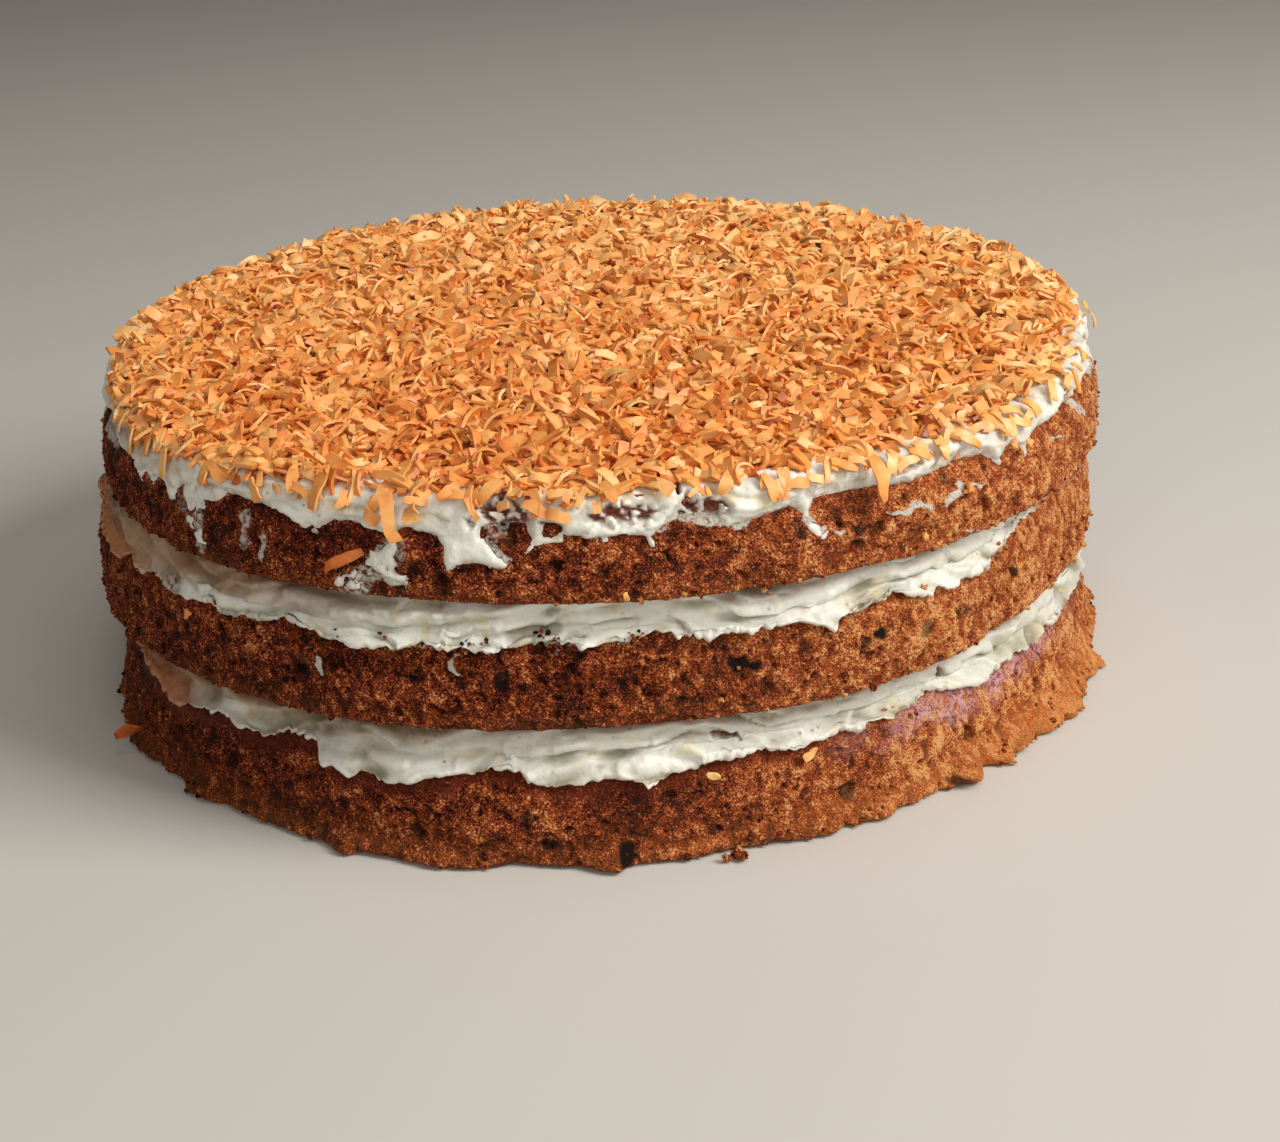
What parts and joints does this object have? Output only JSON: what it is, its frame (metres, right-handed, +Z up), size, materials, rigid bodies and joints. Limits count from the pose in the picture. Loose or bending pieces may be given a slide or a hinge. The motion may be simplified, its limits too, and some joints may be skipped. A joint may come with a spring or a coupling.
{
  "type": "carrot cake",
  "caption": "Round layered carrot cake with cream cheese between its sponges, a frosted top whose rim runs down in drips, and a cover of toasted coconut flakes.",
  "frame": {"origin": "centre of the flat foot that the cake stands on", "axes": "+Z up through the layers, -Y towards the side that is seen first, +X to its right"},
  "size_m": [0.234, 0.2325, 0.0822],
  "materials": {
    "sponge": "moist open carrot crumb, matt",
    "frosting": "smooth cream cheese frosting with a soft sheen",
    "coconut": "dry toasted coconut flakes on cream cheese frosting"
  },
  "bodies": {
    "root": {"sponge_bottom": "sponge", "filling_lower": "frosting", "sponge_middle": "sponge", "filling_upper": "frosting", "sponge_top": "sponge", "frosting_top": "coconut"}
  },
  "joints": []
}
